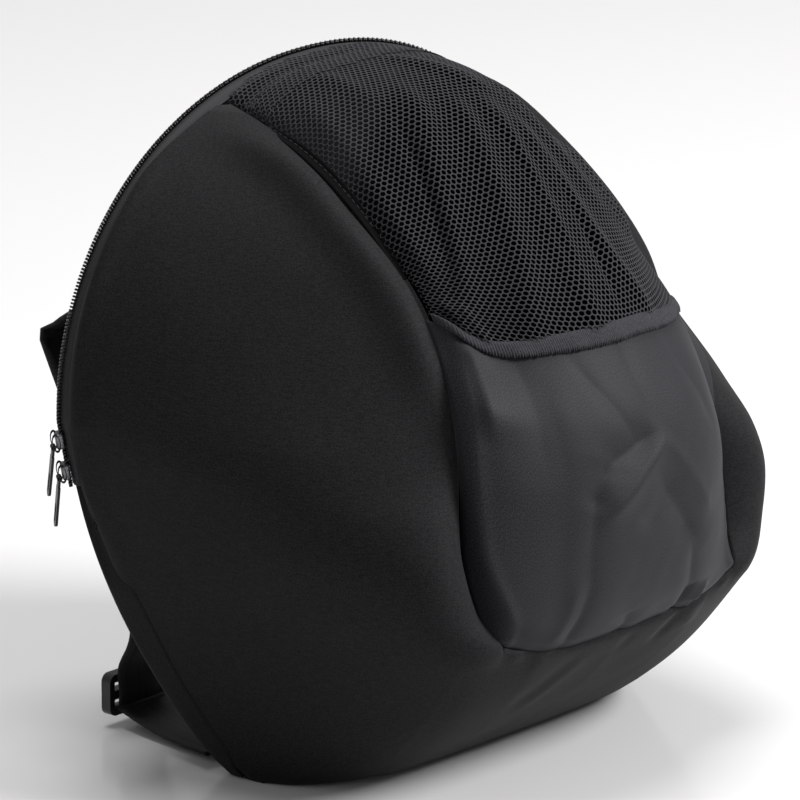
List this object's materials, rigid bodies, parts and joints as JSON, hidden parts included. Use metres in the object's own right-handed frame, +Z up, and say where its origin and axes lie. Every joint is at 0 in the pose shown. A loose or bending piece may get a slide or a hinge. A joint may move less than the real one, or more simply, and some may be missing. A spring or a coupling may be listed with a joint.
{
  "type": "soft backpack travel bag",
  "caption": "Soft dome-fronted backpack: foam-backed shell on a flat base, net front panel over a nylon pocket, zip arch round the back, shoulder straps with buckles.",
  "frame": {"origin": "middle of the flat base, on the floor", "axes": "+X right seen from the front, -Y the domed front, +Y the wearer's back, +Z up"},
  "size_m": [0.4112, 0.3594, 0.3838],
  "materials": {
    "foam_cloth": "matte foam-backed weave",
    "net": "open hexagon tricot net",
    "hem_elastic": "ribbed elastic",
    "satin_nylon": "satin nylon",
    "back_cloth": "matte padded cloth",
    "zip_tape": "woven tape",
    "zip_coil": "moulded coil",
    "black_metal": "gloss black",
    "webbing": "woven webbing",
    "moulded_plastic": "satin moulding"
  },
  "bodies": {
    "bag": {"body_shell": "foam_cloth", "front_mesh_panel": "net", "mesh_hem": "hem_elastic", "front_pocket": "satin_nylon", "back_panel": "back_cloth", "back_gusset": "back_cloth", "zip_tape_front": "zip_tape", "zip_tape_back": "zip_tape", "zip_chain": "zip_coil", "zip_slider_upper": "black_metal", "zip_slider_lower": "black_metal", "shoulder_strap_left": "webbing", "shoulder_strap_right": "webbing", "lower_webbing_left": "webbing", "lower_webbing_right": "webbing", "ladder_lock_left": "moulded_plastic", "ladder_lock_right": "moulded_plastic"},
    "pull_upper": {"zip_pull_upper": "black_metal"},
    "pull_lower": {"zip_pull_lower": "black_metal"}
  },
  "joints": [
    {"name": "upper_pull_hinge", "type": "hinge", "parent": "bag", "child": "pull_upper", "pos_m": [-0.20343, 0.11822, 0.18875], "axis": [0.5687, 0.8121, 0.1308], "range_deg": [0, 150]},
    {"name": "lower_pull_hinge", "type": "hinge", "parent": "bag", "child": "pull_lower", "pos_m": [-0.19906, 0.11822, 0.16975], "axis": [0.5687, 0.8121, 0.1308], "range_deg": [0, 16]}
  ]
}
